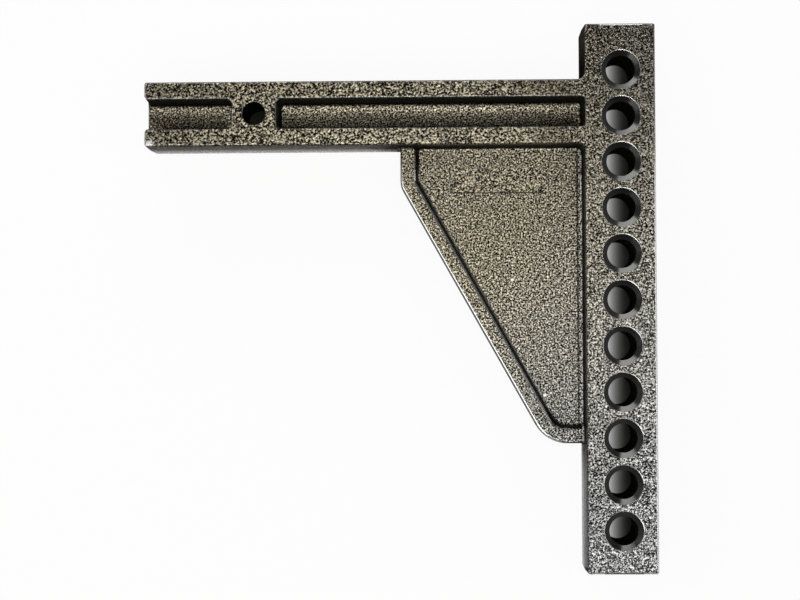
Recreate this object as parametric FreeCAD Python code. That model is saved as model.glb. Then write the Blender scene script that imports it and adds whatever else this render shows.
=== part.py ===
import FreeCAD, Part
import math
import os

# Adjustable hitch bar: a square shank that slides into a receiver tube, a tall
# column with a row of bolt holes, and a webbed gusset that ties them together.
# It is one iron casting from a two-part mould that opens at z = 0, so every
# wall leans away from that plane and every corner is rounded.
#
# Millimetres. The origin is the centre of the hitch pin hole, half way through
# the casting. +X runs along the shank to the column, +Y runs up the column,
# and +Z is the axis of every hole. The bar lies on its side, as it rests.

# Shank
body_depth = 50.0
shank_height = 50.0
pin_to_free_end = 84.5
pin_to_column = 251.8
pin_hole_diameter = 18.0

# Column
column_width = 54.4
shank_axis_to_first_hole = 31.5
inner_face_to_holes = 27.9
hole_count = 11
hole_pitch = 35.0
hole_diameter = 22.0
countersink_diameter = 30.0
countersink_depth = 3.0
top_margin = 35.5
bottom_margin = 33.0

# Pockets that lighten the shank to an I section on both sides of the pin hole
web_thickness = 10.0
pocket_height = 22.6
pin_land = 17.0
pocket_into_column = 0.8
pocket_corner = 3.2
pocket_root = 2.2
open_end_flare = 2.5

# Gusset below the shank: a web with a raised rim along its free sides, whose
# inner wall slopes down to the web
pin_to_gusset = 111.4
gusset_side = 29.6
gusset_reach = 228.3
gusset_foot = 29.1227
gusset_upper_round = 15.0
gusset_lower_round = 27.0
rim_depth = 20.0
rim_width = 11.3
rim_slope = 30.0
rim_edge = 2.0
rim_root = 2.5
rim_seam = 3.0

# Bare marks that the pattern's insert and ejector leave on the front web
mark_depth = 0.4
insert_mark_length = 76.0
insert_mark_height = 19.0
insert_mark_to_column = 26.0
insert_mark_below_shank = 16.0
ejector_mark_diameter = 13.6
ejector_mark_to_column = 110.4
ejector_mark_below_shank = 31.8

# Draft and rounding of the casting
outer_draft = 1.0
pocket_draft = 4.0
body_edge = 1.8
body_corner = 1.8
upper_throat = 6.0
lower_throat = 5.0
lip_break = 0.8

# How far a cutting form reaches past the face that it cuts
overrun = 5.0

half_depth = body_depth / 2
half_height = shank_height / 2
half_web = web_thickness / 2
half_rim = rim_depth / 2
half_pocket = pocket_height / 2
shank_underside = -half_height
outer_face = pin_to_column + column_width
hole_line = pin_to_column + inner_face_to_holes
column_top = shank_axis_to_first_hole + top_margin
last_hole = shank_axis_to_first_hole - (hole_count - 1) * hole_pitch
column_bottom = last_hole - bottom_margin
gusset_knee = shank_underside - gusset_side
gusset_bottom = shank_underside - gusset_reach


def outline(*pairs):
    return [FreeCAD.Vector(x, y, 0) for x, y in pairs]


# How far a drafted wall leans over a height.
def lean(draft, height):
    return abs(height) * math.tan(math.radians(draft))


# Moves each side of a counter-clockwise outline inwards, corners kept sharp.
def inset(points, distance):
    moved = []
    for index, point in enumerate(points):
        before = point - points[index - 1]
        after = points[(index + 1) % len(points)] - point
        first = FreeCAD.Vector(-before.y, before.x, 0).normalize()
        second = FreeCAD.Vector(-after.y, after.x, 0).normalize()
        moved.append(point + (first + second) * (distance / (1 + first.dot(second))))
    return moved


# A block between two heights whose flat sides lean inwards away from the start.
def drafted_block(points, start, end, draft):
    wide = [FreeCAD.Vector(p.x, p.y, start) for p in points]
    shrunk = inset(points, lean(draft, end - start))
    narrow = [FreeCAD.Vector(p.x, p.y, end) for p in shrunk]
    low, high = (wide, narrow) if start < end else (narrow, wide)
    faces = [
        Part.Face(Part.makePolygon(low[::-1] + low[-1:])),
        Part.Face(Part.makePolygon(high + high[:1])),
    ]
    for index in range(len(points)):
        side = [low[index - 1], low[index], high[index], high[index - 1]]
        faces.append(Part.Face(Part.makePolygon(side + side[:1])))
    shell = Part.makeShell(faces)
    shell.sewShape()
    return Part.makeSolid(shell)


def near(a, b):
    return abs(a - b) < 1e-3


def is_level(edge):
    return near(edge.BoundBox.ZMin, edge.BoundBox.ZMax)


def edges_within(shape, low, high):
    room = FreeCAD.BoundBox(*low, *high)
    return [edge for edge in shape.Edges if room.isInside(edge.BoundBox)]


def edges_at(shape, height):
    return [edge for edge in shape.Edges if is_level(edge) and near(edge.BoundBox.ZMin, height)]


# The edge that rises from one corner of a block's outline.
def rising_edge(shape, point, height):
    for edge in shape.Edges:
        feet = [v.Point for v in edge.Vertexes if near(v.Point.z, height)]
        if not is_level(edge) and any(near(p.x, point.x) and near(p.y, point.y) for p in feet):
            return edge
    raise ValueError("no edge rises from that corner")


def round_corners(block, points, height, radii):
    for point, radius in zip(points, radii):
        block = block.makeFillet(radius, [rising_edge(block, point, height)])
    return block


# The T-shaped body of shank and column, from the parting plane to the face.
def body_half():
    corners = (
        ((-pin_to_free_end, -half_height), body_corner),
        ((pin_to_column, -half_height), lower_throat),
        ((pin_to_column, column_bottom), body_corner),
        ((outer_face, column_bottom), body_corner),
        ((outer_face, column_top), body_corner),
        ((pin_to_column, column_top), body_corner),
        ((pin_to_column, half_height), upper_throat),
        ((-pin_to_free_end, half_height), body_corner),
    )
    points = outline(*[place for place, radius in corners])
    block = drafted_block(points, 0, half_depth, outer_draft)
    block = round_corners(block, points, 0, [radius for place, radius in corners])
    return block.makeFillet(body_edge, edges_at(block, half_depth))


# The room that a pocket takes: walls that draw in towards the floor, a rounded
# root, and some rounded corners. Its outline is given at the face of the body.
def pocket_room(points, rounded):
    mouth = half_depth + overrun
    wide = inset(points, -lean(pocket_draft, overrun))
    room = drafted_block(wide, mouth, half_web, pocket_draft)
    room = round_corners(room, [wide[index] for index in rounded], mouth, [pocket_corner] * len(rounded))
    return room.makeFillet(pocket_root, edges_at(room, half_web))


# Runs out through the shank's free end, where its walls flare.
def end_pocket():
    knee = -pin_to_free_end + open_end_flare
    beyond = knee - open_end_flare - overrun
    wide = half_pocket + open_end_flare + overrun
    return pocket_room(outline(
        (beyond, -wide), (knee, -half_pocket), (-pin_land, -half_pocket),
        (-pin_land, half_pocket), (knee, half_pocket), (beyond, wide),
    ), range(1, 5))


def long_pocket():
    far = pin_to_column + pocket_into_column
    return pocket_room(outline(
        (pin_land, -half_pocket), (far, -half_pocket), (far, half_pocket), (pin_land, half_pocket),
    ), range(4))


def pin_bore():
    length = half_depth + 2 * overrun
    return Part.makeCylinder(pin_hole_diameter / 2, length, FreeCAD.Vector(0, 0, -overrun))


# A bolt hole with its countersink, turned about the axis of one hole.
def bolt_hole(y):
    bore = hole_diameter / 2
    mouth = countersink_diameter / 2
    flare = (mouth - bore) / countersink_depth
    profile = [
        (0, -overrun), (bore, -overrun), (bore, half_depth - countersink_depth),
        (mouth + flare * overrun, half_depth + overrun), (0, half_depth + overrun),
    ]
    points = [FreeCAD.Vector(hole_line + r, y, z) for r, z in profile]
    section = Part.Face(Part.makePolygon(points + points[:1]))
    return section.revolve(FreeCAD.Vector(hole_line, y, 0), FreeCAD.Vector(0, 0, 1), 360)


# Every edge where a pocket breaks out of the body.
def lip_edges(shape):
    slack = 1.0
    shank_end = -pin_to_free_end - slack
    broad = half_pocket + open_end_flare + slack
    end_mouth = edges_within(
        shape, (shank_end, -broad, half_depth - 0.01),
        (-pin_land + slack, broad, half_depth + 0.01),
    )
    long_mouth = edges_within(
        shape, (pin_land - slack, -broad, half_depth - 0.01),
        (pin_to_column + pocket_into_column + slack, broad, half_depth + 0.01),
    )
    open_end = edges_within(
        shape, (shank_end, -broad, half_web - 0.01),
        (-pin_to_free_end + body_edge, broad, half_depth + 0.01),
    )
    return end_mouth + long_mouth + open_end


# The gusset's outline, counter-clockwise, its top and right sides buried in
# the shank and the column.
def gusset_outline():
    foot = pin_to_column - gusset_foot
    top = shank_underside + lower_throat
    right = pin_to_column + lower_throat
    return outline(
        (pin_to_gusset, top), (pin_to_gusset, gusset_knee),
        (foot, gusset_bottom), (right, gusset_bottom), (right, top),
    )


# The edges round the top of the rim, without the two that are buried.
def free_edges(plate):
    return [
        edge for edge in edges_at(plate, half_rim)
        if edge.BoundBox.YMin < shank_underside and edge.BoundBox.XMin < pin_to_column
    ]


def gusset_half():
    points = gusset_outline()
    plate = drafted_block(points, 0, half_rim, outer_draft)
    plate = round_corners(plate, points[1:3], 0, (gusset_upper_round, gusset_lower_round))
    plate = plate.makeFillet(rim_edge, free_edges(plate))
    inner = inset(points, rim_width - lean(rim_slope, overrun))
    top, right = points[4].y + overrun, points[4].x + overrun
    inner[0].y = top
    inner[3].x = right
    inner[4] = FreeCAD.Vector(right, top, 0)
    mouth = half_rim + overrun
    room = drafted_block(inner, mouth, half_web, rim_slope)
    inner_rounds = (gusset_upper_round - rim_width, gusset_lower_round - rim_width)
    room = round_corners(room, inner[1:3], mouth, inner_rounds)
    plate = plate.cut(room)
    inner_lip = [edge for edge in free_edges(plate) if edge.distToShape(room)[0] < 0.001]
    return plate.makeChamfer(lip_break, inner_lip)


# Where the rim runs into the shank and the column: up its sides and over it.
def seam_edges(shape):
    slack = 1.0 + lean(outer_draft, half_rim)
    reach = rim_width + lean(rim_slope, half_rim - half_web) + slack
    under_shank = edges_within(
        shape, (pin_to_gusset - slack, shank_underside - slack, -0.01),
        (pin_to_gusset + reach, shank_underside + slack, half_rim + 0.01),
    )
    at_column = edges_within(
        shape, (pin_to_column - slack, gusset_bottom - slack, -0.01),
        (pin_to_column + slack, gusset_bottom + reach, half_rim + 0.01),
    )
    return [
        edge for edge in under_shank + at_column
        if not is_level(edge) or near(edge.BoundBox.ZMin, half_rim)
    ]


# The loop where the web's floor meets the rim, the shank and the column.
def root_edges(shape):
    return edges_within(
        shape, (pin_to_gusset, gusset_bottom, half_web - 0.01),
        (pin_to_column + 1, shank_underside + 1, half_web + 0.01),
    )


def front_half():
    half = body_half().cut(end_pocket()).cut(long_pocket()).cut(pin_bore())
    for index in range(hole_count):
        half = half.cut(bolt_hole(shank_axis_to_first_hole - index * hole_pitch))
    half = half.makeChamfer(lip_break, lip_edges(half))
    half = half.fuse(gusset_half()).removeSplitter()
    half = half.makeFillet(rim_seam, seam_edges(half))
    return half.makeFillet(rim_root, root_edges(half))


# Two shallow marks sunk in the web, a rectangle and a disc.
def casting_marks():
    floor = half_web - mark_depth
    right = pin_to_column - insert_mark_to_column
    top = shank_underside - insert_mark_below_shank
    plate = Part.makeBox(
        insert_mark_length, insert_mark_height, 2 * mark_depth,
        FreeCAD.Vector(right - insert_mark_length, top - insert_mark_height, floor),
    )
    centre = FreeCAD.Vector(
        pin_to_column - ejector_mark_to_column, shank_underside - ejector_mark_below_shank, floor,
    )
    return [plate, Part.makeCylinder(ejector_mark_diameter / 2, 2 * mark_depth, centre)]


half = front_half()
back = half.mirror(FreeCAD.Vector(0, 0, 0), FreeCAD.Vector(0, 0, 1))
casting = half.cut(casting_marks()).fuse(back).removeSplitter()

os.makedirs("parts", exist_ok=True)
casting.exportStep("parts/hitch_bar.step")
print("solids", len(casting.Solids), "valid", casting.isValid(), "volume", round(casting.Volume))
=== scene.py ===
import math

import bpy
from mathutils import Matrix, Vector


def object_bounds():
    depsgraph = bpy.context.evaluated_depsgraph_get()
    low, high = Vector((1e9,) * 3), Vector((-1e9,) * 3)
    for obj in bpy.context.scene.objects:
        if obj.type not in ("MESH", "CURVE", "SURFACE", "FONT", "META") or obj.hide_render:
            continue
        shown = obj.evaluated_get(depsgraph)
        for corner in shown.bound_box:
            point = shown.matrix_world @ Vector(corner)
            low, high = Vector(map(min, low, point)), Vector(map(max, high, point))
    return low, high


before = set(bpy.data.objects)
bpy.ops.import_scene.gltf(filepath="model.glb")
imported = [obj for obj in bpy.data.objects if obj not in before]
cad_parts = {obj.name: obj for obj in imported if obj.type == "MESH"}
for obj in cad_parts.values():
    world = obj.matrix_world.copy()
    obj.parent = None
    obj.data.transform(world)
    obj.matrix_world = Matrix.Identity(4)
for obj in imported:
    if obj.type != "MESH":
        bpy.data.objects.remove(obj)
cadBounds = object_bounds()
print("frame is in:", ", ".join(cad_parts))


def fromHex(hexColour):  # sRGB hex, as a colour picker shows it, to Blender's linear values
    channels = [int(hexColour[i:i + 2], 16) / 255 for i in (0, 2, 4)]
    return (*[c / 12.92 if c <= 0.04045 else ((c + 0.055) / 1.055) ** 2.4 for c in channels], 1.0)


def addNode(tree, kind, settings=None, links=None):  # a number names a socket by its place
    node = tree.nodes.new(kind)
    for name, value in (settings or {}).items():
        if isinstance(name, int) or name in node.inputs:
            node.inputs[name].default_value = value
        else:
            setattr(node, name, value)
    for name, socket in (links or {}).items():
        tree.links.new(socket, node.inputs[name])
    return node


def newMaterial(name):
    material = bpy.data.materials.new(name)
    material.use_nodes = True
    material.node_tree.nodes.clear()
    return material, material.node_tree


def insideBox(tree, place, low, high):  # 1 between two corners in the plane of the bar
    middle = [(a + b) / 2 for a, b in zip(low, high)]
    half = [(b - a) / 2 for a, b in zip(low, high)]
    offset = addNode(tree, "ShaderNodeVectorMath", {"operation": "SUBTRACT", 1: (*middle, 0)}, {
        0: place,
    }).outputs[0]
    apart = addNode(tree, "ShaderNodeVectorMath", {"operation": "ABSOLUTE"}, {0: offset}).outputs[0]
    beyond = addNode(tree, "ShaderNodeVectorMath", {"operation": "SUBTRACT", 1: (*half, 0)}, {
        0: apart,
    }).outputs[0]
    split = addNode(tree, "ShaderNodeSeparateXYZ", links={0: beyond})
    widest = addNode(tree, "ShaderNodeMath", {"operation": "MAXIMUM"}, {
        0: split.outputs["X"], 1: split.outputs["Y"],
    }).outputs[0]
    return addNode(tree, "ShaderNodeMath", {"operation": "LESS_THAN", 1: 0.0}, {0: widest}).outputs[0]


# Camera: straight down on the bar as it lies, a touch of tilt, a long lens
cameraSettings = {
    "place": (0.1391, -0.1722, 1.2064),
    "turn": (1.407, 1.364, -0.264),  # degrees
    "lens": 70.03,
    "farthest": 20.0,
}


def addCamera(settings):
    data = bpy.data.cameras.new("camera")
    data.lens = settings["lens"]
    data.clip_end = settings["farthest"]
    camera = bpy.data.objects.new("camera", data)
    camera.location = settings["place"]
    camera.rotation_euler = [math.radians(angle) for angle in settings["turn"]]
    bpy.context.scene.collection.objects.link(camera)
    bpy.context.scene.camera = camera


addCamera(cameraSettings)
print("camera is up")


# Hammertone powder coat, silver vein over black. Silver islands about 1.5 mm wide
# stand up from black creases and catch the light one by one. The coat is smooth over
# the roundings and in the machined countersinks. Painted highlights lighten the
# roundings, the rims round the holes and a dotted line along the web's root by the
# column. Painted shade darkens the countersink cones, the recesses, the walls that
# face up the column, a line along the column's wall and the bar's far ends, and a
# dark line runs across the web. The iron shows white where it is knocked, and two
# pocket corners carry a painted highlight in that white. Metres, unless a name says
# otherwise.
coatSettings = {
    # islands and creases
    "creasesPerMetre": 2600,  # this over the spacing is the noise's scale
    "columnSpacingMm": 3.0,
    "shankSpacingMm": 3.9,
    "gussetSpacingMm": 3.2,
    "shankEnd": (0.19, 0.25),  # the shank's coat turns into the column's between these
    "webTop": (0.0095, 0.0075),  # the web's coat sets in below the first, and is full at the second
    "gussetZone": ((0.1050, -0.3000), (0.2512, -0.0262)),
    "islandColours": (
        (0.38, "0c0c0b"), (0.44, "2c2c2a"), (0.49, "70706d"), (0.56, "a2a29f"), (0.65, "ebebe8"),
    ),
    "bumpMm": 0.55,
    # a warmer silver near the pin hole, and painted shade, where less light falls, at
    # the column's top, the gusset's foot and the free end
    "warmTint": "fff3d6",
    "warmCentre": (0.08, 0.0, 0.0),
    "warmReach": (0.15, 0.34),
    "paintedShadeSpots": (  # painted shade: centre, reach, share of light left
        ((0.290, 0.065, 0.02), 0.150, 0.58),
        ((0.200, -0.290, 0.01), 0.150, 0.66),
        ((-0.080, 0.0, 0.02), 0.100, 0.68),
    ),
    # gloss
    "metallic": 0.95,
    "roughness": 0.28,
    "edgeRoughness": 0.22,
    "recessRoughness": 0.70,
    "coatWeight": 0.08,
    "coatRoughness": 0.12,
    # roundings, where the coat is smooth and a highlight is painted
    "edgeRound": 0.0008,
    "edgeSamples": 4,
    # colour of the painted highlight on the roundings and the rims round the holes
    "edgeHighlight": "f0f0ee",
    "edgeShare": 0.30,  # of that painted highlight above the first height below, all of it under the second
    "edgeBelow": (-0.028, -0.055),
    "edgeGrain": 0.54,
    # roundings in these boxes, more than the height below off the parting plane, keep the plain grainy coat
    # and get no painted highlight
    "plainEdgeBoxes": (
        ((0.100, -0.360), (0.2560, -0.0210)),
        ((0.249, 0.026), (0.2560, 0.070)),
        ((-0.090, -0.030), (0.110, -0.0215)),
    ),
    "plainEdgeFrom": 0.012,
    # how level a face is (1 lies flat, 0 is upright), from where a mask sets in to where it is full
    "turned": (0.995, 0.95),
    "steep": (0.98, 0.74),
    "leaning": (0.10, 0.45),
    "cone": (0.91, 0.84),
    # painted shade in recesses, by the share of the sky that a face sees, and on the walls that face up the
    # column
    "recessReach": 0.030,
    "skySamples": 6,
    "closed": (0.97, 0.90),
    "recessShade": 0.05,
    "facingUp": (0.15, 0.45),
    "upFacingShade": 0.8,
    # countersinks: a painted shade on the cones, a painted highlight on the rims round them
    "holeLine": 0.2797,
    "firstHole": 0.0315,
    "holePitch": 0.035,
    "countersinkRadius": 0.0151,
    "rimRadius": 0.0162,
    "countersinkFloor": (0.0214, 0.0222),
    # a dark painted shade on the smooth cones
    "countersinkShadeColour": "4c4c4a",
    # fine lines: a painted highlight along the web's root by the column, painted shade along the column's
    # wall, and a dark line across the web
    "rootGlintZone": ((0.2501, -0.250), (0.2511, -0.030)),
    "rootGlintGrain": 0.51,
    "rootGlintColour": "d0d0ce",
    # dark lines on the web: a painted shade beside the column's wall, and a line across the web
    "darkLines": (((0.2470, -0.251), (0.2486, -0.029)), ((0.1498, -0.0605), (0.2258, -0.0595))),
    "darkLinesShare": 0.25,
    "darkLinesTop": 0.0095,
    # dished pocket floors and the ridge round the parting plane
    "dishHalf": 0.0099,
    "dishCentre": 0.0028,
    "dishDeep": 0.0026,
    "pocketEnds": (0.0175, 0.2522),
    "partingWidth": 0.0006,
    "partingHeight": 0.00025,
    # knocked spots, the last two painted highlights at pocket corners: centre, radius
    "bareIronAndHighlight": "e8e8ea",
    "raggedGrain": (0.3, 0.7),
    "ragged": (0.6, 1.4),
    "wornAndHighlightSpots": (
        ((-0.0806, -0.0232, 0.0240), 0.0030),
        ((0.1971, -0.1276, 0.0050), 0.0011),
        ((0.2219, -0.2163, 0.0050), 0.0012),
        # the last two: painted highlights at the pocket corners beside the pin hole
        ((-0.0183, 0.0098, 0.0245), 0.0012),
        ((0.0182, 0.0098, 0.0245), 0.0012),
    ),
}


# Noise for the islands, coarser on the shank and finer on the gusset.
def islandGrain(tree, place, where, web, settings):
    start, end = settings["shankEnd"]
    shank = addNode(tree, "ShaderNodeMapRange", {
        "From Min": end, "From Max": start,
    }, {"Value": where.outputs["X"]}).outputs["Result"]
    zone = insideBox(tree, place, *settings["gussetZone"])
    gusset = addNode(tree, "ShaderNodeMath", {"operation": "MAXIMUM"}, {0: web, 1: zone}).outputs[0]
    grain = None
    for name, here in (("columnSpacingMm", None), ("shankSpacingMm", shank), ("gussetSpacingMm", gusset)):
        islands = addNode(tree, "ShaderNodeTexNoise", {
            "Scale": settings["creasesPerMetre"] / settings[name],
            "Detail": 1.0, "Roughness": 0.5, "Distortion": 0.4,
        }, {"Vector": place}).outputs[0]
        grain = addNode(tree, "ShaderNodeMix", {"data_type": "FLOAT"}, {
            0: here, 2: grain, 3: islands,
        }).outputs[0] if grain else islands
    return grain


# Two masks: 1 on the cones of the bolt holes, which get a painted shade, and 1 on the thin rims round them,
# which get a painted highlight.
def countersinkMasks(tree, where, side, slopes, settings):
    across = addNode(tree, "ShaderNodeMath", {"operation": "SUBTRACT", 1: settings["holeLine"]}, {
        0: where.outputs["X"],
    }).outputs[0]
    down = addNode(tree, "ShaderNodeMath", {"operation": "SUBTRACT", 1: settings["firstHole"]}, {
        0: where.outputs["Y"],
    }).outputs[0]
    nearest = addNode(tree, "ShaderNodeMath", {"operation": "PINGPONG", 1: settings["holePitch"] / 2}, {
        0: down,
    }).outputs[0]
    offset = addNode(tree, "ShaderNodeCombineXYZ", links={"X": across, "Y": nearest}).outputs[0]
    radius = addNode(tree, "ShaderNodeVectorMath", {"operation": "LENGTH"}, {0: offset}).outputs["Value"]
    low, high = settings["countersinkFloor"]
    above = addNode(tree, "ShaderNodeMapRange", {"From Min": low, "From Max": high}, {
        "Value": side,
    }).outputs["Result"]
    slight = addNode(tree, "ShaderNodeMath", {"operation": "SUBTRACT", "use_clamp": True}, {
        0: slopes["turned"], 1: slopes["cone"],
    }).outputs[0]
    masks = []
    for reach, slope in ((settings["countersinkRadius"], slopes["cone"]), (settings["rimRadius"], slight)):
        mask = addNode(tree, "ShaderNodeMath", {"operation": "LESS_THAN", 1: reach}, {0: radius}).outputs[0]
        for factor in (above, slope):
            mask = addNode(tree, "ShaderNodeMath", {"operation": "MULTIPLY"}, {0: mask, 1: factor}).outputs[0]
        masks.append(mask)
    return masks


# 1 on a painted highlight, dotted by the grain, along the web's root by the column.
def rootGlintMask(tree, place, grain, settings):
    zone = insideBox(tree, place, *settings["rootGlintZone"])
    island = addNode(tree, "ShaderNodeMath", {"operation": "GREATER_THAN", 1: settings["rootGlintGrain"]}, {
        0: grain,
    }).outputs[0]
    return addNode(tree, "ShaderNodeMath", {"operation": "MULTIPLY"}, {0: zone, 1: island}).outputs[0]


# 1 inside any of the boxes, on one side of a height.
def boxesMask(tree, place, side, boxes, test, height):
    inside = None
    for low, high in boxes:
        box = insideBox(tree, place, low, high)
        inside = addNode(tree, "ShaderNodeMath", {"operation": "MAXIMUM"}, {
            0: inside, 1: box,
        }).outputs[0] if inside else box
    there = addNode(tree, "ShaderNodeMath", {"operation": test, 1: height}, {0: side}).outputs[0]
    return addNode(tree, "ShaderNodeMath", {"operation": "MULTIPLY"}, {0: inside, 1: there}).outputs[0]


# 1 on the spots where the coat is knocked off, and on two painted highlights, with ragged edges.
def wornAndHighlightMask(tree, place, grain, settings):
    (low, high), (least, most) = settings["raggedGrain"], settings["ragged"]
    uneven = addNode(tree, "ShaderNodeMapRange", {
        "From Min": low, "From Max": high, "To Min": least, "To Max": most,
    }, {"Value": grain}).outputs["Result"]
    wornAndHighlight = None
    for point, radius in settings["wornAndHighlightSpots"]:
        gap = addNode(tree, "ShaderNodeVectorMath", {"operation": "DISTANCE", 1: point}, {
            0: place,
        }).outputs["Value"]
        ragged = addNode(tree, "ShaderNodeMath", {"operation": "MULTIPLY"}, {0: gap, 1: uneven}).outputs[0]
        spot = addNode(tree, "ShaderNodeMath", {"operation": "LESS_THAN", 1: radius}, {0: ragged}).outputs[0]
        wornAndHighlight = addNode(tree, "ShaderNodeMath", {"operation": "MAXIMUM"}, {
            0: wornAndHighlight, 1: spot,
        }).outputs[0] if wornAndHighlight else spot
    return wornAndHighlight


# Height of the large forms: the dish of the pocket floors, which closes at the pockets'
# ends, and the fine ridge round the parting plane.
def largeForm(tree, where, side, web, settings):
    half = settings["dishHalf"]
    rises = [addNode(tree, "ShaderNodeMapRange", {"From Min": settings["dishCentre"], "From Max": edge}, {
        "Value": where.outputs["Y"],
    }).outputs["Result"] for edge in (half, -half)]
    outward = addNode(tree, "ShaderNodeMath", {"operation": "MAXIMUM"}, {0: rises[0], 1: rises[1]}).outputs[0]
    near, far = settings["pocketEnds"]
    fromPin = addNode(tree, "ShaderNodeMath", {"operation": "ABSOLUTE"}, {0: where.outputs["X"]}).outputs[0]
    first = addNode(tree, "ShaderNodeMath", {"operation": "SUBTRACT", 1: near}, {0: fromPin}).outputs[0]
    second = addNode(tree, "ShaderNodeMath", {"operation": "SUBTRACT", 0: far}, {
        1: where.outputs["X"],
    }).outputs[0]
    toEnd = addNode(tree, "ShaderNodeMath", {"operation": "MINIMUM"}, {0: first, 1: second}).outputs[0]
    atEnd = addNode(tree, "ShaderNodeMapRange", {
        "From Max": half, "To Min": 1.0, "To Max": 0.0,
    }, {"Value": toEnd}).outputs["Result"]
    curve, endCurve = [
        addNode(tree, "ShaderNodeMath", {"operation": "POWER", 1: 2.0}, {0: rise}).outputs[0]
        for rise in (outward, atEnd)
    ]
    inner = addNode(tree, "ShaderNodeMath", {"operation": "SUBTRACT", 0: 1.0}, {1: endCurve}).outputs[0]
    dish = addNode(tree, "ShaderNodeMapRange", {"To Min": -settings["dishDeep"], "To Max": 0.0}, {
        "Value": curve,
    }).outputs["Result"]
    for factor in (inner, web):
        dish = addNode(tree, "ShaderNodeMath", {"operation": "MULTIPLY"}, {0: dish, 1: factor}).outputs[0]
    ridge = addNode(tree, "ShaderNodeMapRange", {
        "interpolation_type": "SMOOTHSTEP", "From Max": settings["partingWidth"],
        "To Min": settings["partingHeight"], "To Max": 0.0,
    }, {"Value": side}).outputs["Result"]
    return addNode(tree, "ShaderNodeMath", {"operation": "ADD"}, {0: dish, 1: ridge}).outputs[0]


# The islands' own colour, warmer near the pin hole.
def islandColour(tree, place, grain, settings):
    colour = addNode(tree, "ShaderNodeValToRGB", links={0: grain})
    for index, (position, hexColour) in enumerate(settings["islandColours"]):
        stops = colour.color_ramp.elements
        stop = stops[index] if index < 2 else stops.new(position)
        stop.position = position
        stop.color = fromHex(hexColour)
    gap = addNode(tree, "ShaderNodeVectorMath", {"operation": "DISTANCE", 1: settings["warmCentre"]}, {
        0: place,
    }).outputs["Value"]
    near, far = settings["warmReach"]
    warmth = addNode(tree, "ShaderNodeMapRange", {"From Min": far, "From Max": near}, {
        "Value": gap,
    }).outputs["Result"]
    return addNode(tree, "ShaderNodeMix", {
        "data_type": "RGBA", "blend_type": "MULTIPLY", 7: fromHex(settings["warmTint"]),
    }, {0: warmth, 6: colour.outputs["Color"]}).outputs[2]


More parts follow.
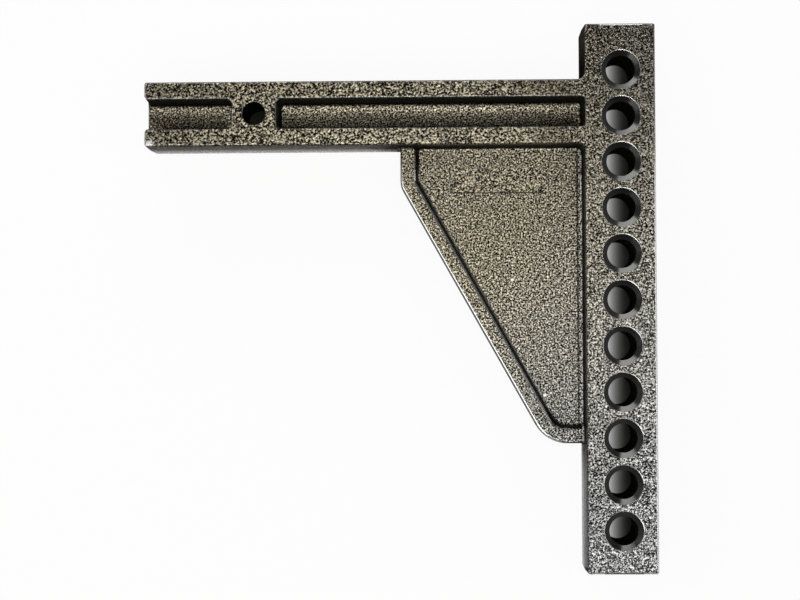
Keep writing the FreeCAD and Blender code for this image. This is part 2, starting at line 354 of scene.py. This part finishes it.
def silverVeinCoat(settings):
    material, tree = newMaterial("silverVeinHammertoneCoat")
    place = addNode(tree, "ShaderNodeTexCoord").outputs["Object"]
    where = addNode(tree, "ShaderNodeSeparateXYZ", links={0: place})
    side = addNode(tree, "ShaderNodeMath", {"operation": "ABSOLUTE"}, {0: where.outputs["Z"]}).outputs[0]
    start, full = settings["webTop"]
    web = addNode(tree, "ShaderNodeMapRange", {"From Min": start, "From Max": full}, {
        "Value": side,
    }).outputs["Result"]
    grain = islandGrain(tree, place, where, web, settings)

    # Which way the rounded surface faces, and how much sky it sees
    edge = addNode(tree, "ShaderNodeBevel", {
        "samples": settings["edgeSamples"], "Radius": settings["edgeRound"],
    }).outputs["Normal"]
    facing = addNode(tree, "ShaderNodeSeparateXYZ", links={0: edge})
    level = addNode(tree, "ShaderNodeMath", {"operation": "ABSOLUTE"}, {0: facing.outputs["Z"]}).outputs[0]
    sky = addNode(tree, "ShaderNodeAmbientOcclusion", {
        "samples": settings["skySamples"], "only_local": True, "Distance": settings["recessReach"],
    }).outputs["AO"]
    slopes = {}
    for name, value, most in (
        ("turned", level, 1.0), ("steep", level, 1.0), ("leaning", level, 1.0), ("cone", level, 1.0),
        ("closed", sky, 1.0), ("facingUp", facing.outputs["Y"], settings["upFacingShade"]),
    ):
        start, full = settings[name]
        slopes[name] = addNode(tree, "ShaderNodeMapRange", {
            "interpolation_type": "SMOOTHSTEP", "From Min": start, "From Max": full, "To Max": most,
        }, {"Value": value}).outputs["Result"]

    # Painted shade in recesses: steep faces that see little sky, or that face up the column
    countersink, rimHighlight = countersinkMasks(tree, where, side, slopes, settings)
    face = addNode(tree, "ShaderNodeMath", {"operation": "SUBTRACT", 0: 1.0}, {1: countersink}).outputs[0]
    shadedWall = addNode(tree, "ShaderNodeMath", {"operation": "MAXIMUM"}, {
        0: slopes["closed"], 1: slopes["facingUp"],
    }).outputs[0]
    shut = addNode(tree, "ShaderNodeMath", {"operation": "MULTIPLY"}, {0: shadedWall, 1: face}).outputs[0]
    shadedRecess = addNode(tree, "ShaderNodeMath", {"operation": "MULTIPLY"}, {
        0: slopes["steep"], 1: shut,
    }).outputs[0]

    # Roundings: turned faces in the open, where the coat is smooth and a painted
    # highlight lightens them, faintly up by the shank and in full below it
    plainEdges = boxesMask(tree, place, side, settings["plainEdgeBoxes"], "GREATER_THAN", settings["plainEdgeFrom"])
    rounding = addNode(tree, "ShaderNodeMath", {"operation": "MULTIPLY"}, {
        0: slopes["turned"], 1: slopes["leaning"],
    }).outputs[0]
    covered = addNode(tree, "ShaderNodeMath", {"operation": "MAXIMUM"}, {0: shut, 1: plainEdges}).outputs[0]
    exposed = addNode(tree, "ShaderNodeMath", {"operation": "SUBTRACT", 0: 1.0}, {1: covered}).outputs[0]
    smooth = addNode(tree, "ShaderNodeMath", {"operation": "MULTIPLY"}, {0: rounding, 1: exposed}).outputs[0]
    high, low = settings["edgeBelow"]
    bright = addNode(tree, "ShaderNodeMapRange", {
        "From Min": high, "From Max": low, "To Min": settings["edgeShare"], "To Max": 1.0,
    }, {"Value": where.outputs["Y"]}).outputs["Result"]
    paintedEdgeHighlight = addNode(tree, "ShaderNodeMath", {"operation": "MULTIPLY"}, {0: smooth, 1: bright}).outputs[0]

    # Colour: islands, then painted shade, then what lies bare, and the painted highlights
    shaded = islandColour(tree, place, grain, settings)
    # painted shade beside the column's wall, and a dark line across the web
    darkLineMask = boxesMask(tree, place, side, settings["darkLines"], "LESS_THAN", settings["darkLinesTop"])
    shares = [
        addNode(tree, "ShaderNodeMapRange", {
            "To Min": 1.0, "To Max": shade,
        }, {"Value": mask}).outputs["Result"]
        for mask, shade in ((shadedRecess, settings["recessShade"]), (darkLineMask, settings["darkLinesShare"]))
    ]
    # painted shade where less light falls, at the column's top, the gusset's foot and the free end
    for point, reach, shade in settings["paintedShadeSpots"]:
        gap = addNode(tree, "ShaderNodeVectorMath", {"operation": "DISTANCE", 1: point}, {
            0: place,
        }).outputs["Value"]
        shares.append(addNode(tree, "ShaderNodeMapRange", {
            "interpolation_type": "SMOOTHSTEP", "From Max": reach, "To Min": shade, "To Max": 1.0,
        }, {"Value": gap}).outputs["Result"])
    for share in shares:
        shaded = addNode(tree, "ShaderNodeVectorMath", {"operation": "SCALE"}, {
            0: shaded, "Scale": share,
        }).outputs[0]
    # a painted highlight along the web's root by the column
    rootGlint = rootGlintMask(tree, place, grain, settings)
    # the knocked spots, and two painted highlights at pocket corners
    wornAndHighlight = wornAndHighlightMask(tree, place, grain, settings)
    for mask, name in (
        (paintedEdgeHighlight, "edgeHighlight"), (countersink, "countersinkShadeColour"), (rimHighlight, "edgeHighlight"),
        (rootGlint, "rootGlintColour"), (wornAndHighlight, "bareIronAndHighlight"),
    ):
        shaded = addNode(tree, "ShaderNodeMix", {"data_type": "RGBA", 7: fromHex(settings[name])}, {
            0: mask, 6: shaded,
        }).outputs[2]

    # Relief and gloss
    smoothed = smooth
    for mask in (countersink, rimHighlight):
        smoothed = addNode(tree, "ShaderNodeMath", {"operation": "MAXIMUM"}, {
            0: smoothed, 1: mask,
        }).outputs[0]
    relief = addNode(tree, "ShaderNodeMix", {"data_type": "FLOAT", 3: settings["edgeGrain"]}, {
        0: smoothed, 2: grain,
    }).outputs[0]
    plain = addNode(tree, "ShaderNodeMapRange", {
        "To Min": settings["roughness"], "To Max": settings["edgeRoughness"],
    }, {"Value": smoothed}).outputs["Result"]
    roughness = addNode(tree, "ShaderNodeMix", {"data_type": "FLOAT", 3: settings["recessRoughness"]}, {
        0: shadedRecess, 2: plain,
    }).outputs[0]
    large = addNode(tree, "ShaderNodeBump", {"Strength": 1.0, "Distance": 1.0}, {
        "Height": largeForm(tree, where, side, web, settings), "Normal": edge,
    }).outputs["Normal"]
    bump = addNode(tree, "ShaderNodeBump", {
        "Strength": 1.0, "Distance": settings["bumpMm"] / 1000,
    }, {"Height": relief, "Normal": large}).outputs["Normal"]
    shader = addNode(tree, "ShaderNodeBsdfPrincipled", {
        "Metallic": settings["metallic"],
        "Coat Weight": settings["coatWeight"],
        "Coat Roughness": settings["coatRoughness"],
    }, {"Base Color": shaded, "Roughness": roughness, "Normal": bump})
    addNode(tree, "ShaderNodeOutputMaterial", links={"Surface": shader.outputs["BSDF"]})
    return material


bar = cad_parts["hitch_bar"]
bar.material_slots[0].material = silverVeinCoat(coatSettings)
print("coat is on the casting")


# Floor: matt white paper that the bar lies on. The camera sees it white, and so do
# mirror rays, apart from the ground round the bar, which has a painted shade for them
# and for every other ray but the camera's, so that creases and bores stay black. Two
# strips right beside walls stay white, and give those walls a light foot. Straight under
# the column and the pin hole the paper has a painted shade, and under the column a
# painted light that fades from left to right; this is what the holes look down on.
floorSettings = {
    "size": 12.0,
    "drop": 0.0001,  # below the casting's back
    "colour": "f6f6f4",
    "cameraGlow": 0.93,
    "mirrorGlow": 0.95,
    # painted shade of the ground round the bar, for every ray but the camera's
    "roundBar": "3c3c3a",
    "roundBarFrom": -0.16,
    "margin": 0.06,
    "strips": {
        "besideColumn": {"low": (0.2470, -0.353), "high": (0.2519, -0.256)},
        "besideShank": {"low": (-0.090, -0.0285), "high": (0.108, -0.0240)},
    },
    "fadePower": 3.0,
    # painted shade under the column and the pin hole, with a painted light under the column that fades along
    # X
    "patches": {
        "underColumn": {
            "low": (0.2594, -0.3435), "high": (0.2982, 0.059),
            "colour": "5e5e58", "glow": 0.58, "fade": (0.272, 0.291),
        },
        "underPinHole": {
            "low": (-0.013, -0.013), "high": (0.013, 0.013),
            "colour": "55554a", "glow": 0.0, "fade": (-0.01, 0.01),
        },
    },
}


def whitePaper(settings):
    material, tree = newMaterial("mattWhitePaper")
    place = addNode(tree, "ShaderNodeTexCoord").outputs["Object"]
    across = addNode(tree, "ShaderNodeSeparateXYZ", links={0: place}).outputs["X"]
    path = addNode(tree, "ShaderNodeLightPath")
    seen, mirrored = path.outputs["Is Camera Ray"], path.outputs["Is Glossy Ray"]
    margin = settings["margin"]
    low = (settings["roundBarFrom"], cadBounds[0].y - margin)
    high = (cadBounds[1].x + margin, cadBounds[1].y + margin)
    ground = insideBox(tree, place, low, high)

    unseen = addNode(tree, "ShaderNodeMath", {"operation": "SUBTRACT", 0: 1.0}, {1: seen}).outputs[0]
    dimmed = addNode(tree, "ShaderNodeMath", {"operation": "MULTIPLY"}, {0: unseen, 1: ground}).outputs[0]
    tint = addNode(tree, "ShaderNodeMix", {
        "data_type": "RGBA", 6: fromHex(settings["colour"]), 7: fromHex(settings["roundBar"]),
    }, {0: dimmed}).outputs[2]

    white = addNode(tree, "ShaderNodeMath", {"operation": "SUBTRACT", 0: 1.0}, {1: ground}).outputs[0]
    for strip in settings["strips"].values():
        inStrip = insideBox(tree, place, strip["low"], strip["high"])
        white = addNode(tree, "ShaderNodeMath", {"operation": "MAXIMUM"}, {0: white, 1: inStrip}).outputs[0]
    direct = addNode(tree, "ShaderNodeMath", {"operation": "MULTIPLY", 1: settings["cameraGlow"]}, {
        0: seen,
    }).outputs[0]
    turnedBack = addNode(tree, "ShaderNodeMath", {"operation": "MULTIPLY"}, {
        0: mirrored, 1: white,
    }).outputs[0]
    level = addNode(tree, "ShaderNodeMath", {"operation": "MULTIPLY_ADD", 1: settings["mirrorGlow"]}, {
        0: turnedBack, 2: direct,
    }).outputs[0]

    for patch in settings["patches"].values():
        within = insideBox(tree, place, patch["low"], patch["high"])
        bright, dark = patch["fade"]
        fall = addNode(tree, "ShaderNodeMapRange", {"From Min": dark, "From Max": bright}, {
            "Value": across,
        }).outputs["Result"]
        steepFall = addNode(tree, "ShaderNodeMath", {"operation": "POWER", 1: settings["fadePower"]}, {
            0: fall,
        }).outputs[0]
        lit = addNode(tree, "ShaderNodeMath", {"operation": "MULTIPLY", 1: patch["glow"]}, {
            0: steepFall,
        }).outputs[0]
        shown = addNode(tree, "ShaderNodeMath", {"operation": "MULTIPLY"}, {0: lit, 1: seen}).outputs[0]
        tint = addNode(tree, "ShaderNodeMix", {"data_type": "RGBA", 7: fromHex(patch["colour"])}, {
            0: within, 6: tint,
        }).outputs[2]
        level = addNode(tree, "ShaderNodeMix", {"data_type": "FLOAT"}, {
            0: within, 2: level, 3: shown,
        }).outputs[0]
    paper = addNode(tree, "ShaderNodeBsdfDiffuse", links={"Color": tint})
    glow = addNode(tree, "ShaderNodeEmission", {"Color": (1, 1, 1, 1), "Strength": 1.0})
    mixed = addNode(tree, "ShaderNodeMixShader", links={0: level, 1: paper.outputs[0], 2: glow.outputs[0]})
    addNode(tree, "ShaderNodeOutputMaterial", links={"Surface": mixed.outputs[0]})
    return material


def addFloor(settings):
    bpy.ops.mesh.primitive_plane_add(size=settings["size"])
    floor = bpy.context.object
    floor.name = "floor"
    for corner in floor.data.vertices:
        corner.co.z = cadBounds[0].z - settings["drop"]
    floor.data.materials.append(whitePaper(settings))


addFloor(floorSettings)


# Light: a wide box over the lower half of the picture, a small one that makes the
# lower column sparkle, one from the right that looks into the holes, wide panels low
# round the table that draw the roundings and the countersinks, and a grey horizon.
lightSettings = {
    "colour": "ffffff",
    "boxes": {
        "mainBox": {"place": (0.08, -0.08, 1.5), "size": (0.64, 0.6), "power": 2.35},
        "glintBox": {"place": (0.46, -0.58, 1.5), "size": (0.12, 0.20), "power": 0.75},
        "rightBox": {"place": (0.75, -0.2, 1.5), "size": (0.2, 0.9), "power": 1.6},
        "frontBox": {"place": (0.1, -0.80, 1.35), "size": (1.2, 0.55), "power": 5.2},
        "cornerPanel": {"place": (-0.72, -0.70, 1.02), "size": (1.2, 0.6), "power": 4.6},
        "leftPanel": {"place": (-0.9, 0.25, 1.02), "size": (0.9, 0.5), "power": 2.0},
        "backPanel": {"place": (-0.05, 1.2, 0.50), "size": (1.6, 0.55), "power": 11.0},
        "rightPanel": {"place": (1.25, -0.30, 0.85), "size": (0.9, 0.30), "power": 1.8},
    },
    "aim": (0.11, -0.14, 0.0),
    "world": 0.05,
    "horizon": 0.4,
    "horizonRise": (0.15, 0.35),
}


def addLights(settings):
    for name, box in settings["boxes"].items():
        data = bpy.data.lights.new(name, "AREA")
        data.shape = "RECTANGLE"
        data.size, data.size_y = box["size"]
        data.energy = box["power"]
        data.color = fromHex(settings["colour"])[:3]
        lamp = bpy.data.objects.new(name, data)
        lamp.location = box["place"]
        toward = Vector(settings["aim"]) - Vector(box["place"])
        lamp.rotation_euler = toward.to_track_quat("-Z", "Y").to_euler()
        bpy.context.scene.collection.objects.link(lamp)
    world = bpy.data.worlds.new("studio")
    world.use_nodes = True
    tree = world.node_tree
    tree.nodes.clear()
    direction = addNode(tree, "ShaderNodeTexCoord").outputs["Generated"]
    rise = addNode(tree, "ShaderNodeSeparateXYZ", links={0: direction}).outputs["Z"]
    low, high = settings["horizonRise"]
    strength = addNode(tree, "ShaderNodeMapRange", {
        "interpolation_type": "SMOOTHSTEP", "From Min": low, "From Max": high,
        "To Min": settings["horizon"], "To Max": settings["world"],
    }, {"Value": rise}).outputs["Result"]
    fill = addNode(tree, "ShaderNodeBackground", {"Color": (1, 1, 1, 1)}, {"Strength": strength})
    white = addNode(tree, "ShaderNodeBackground", {"Color": (1, 1, 1, 1), "Strength": 1.0})
    path = addNode(tree, "ShaderNodeLightPath")
    either = addNode(tree, "ShaderNodeMixShader", links={
        0: path.outputs["Is Camera Ray"], 1: fill.outputs[0], 2: white.outputs[0],
    })
    addNode(tree, "ShaderNodeOutputWorld", links={"Surface": either.outputs[0]})
    bpy.context.scene.world = world


addLights(lightSettings)
bpy.context.scene.view_settings.view_transform = "Standard"
print("floor and lights are in")
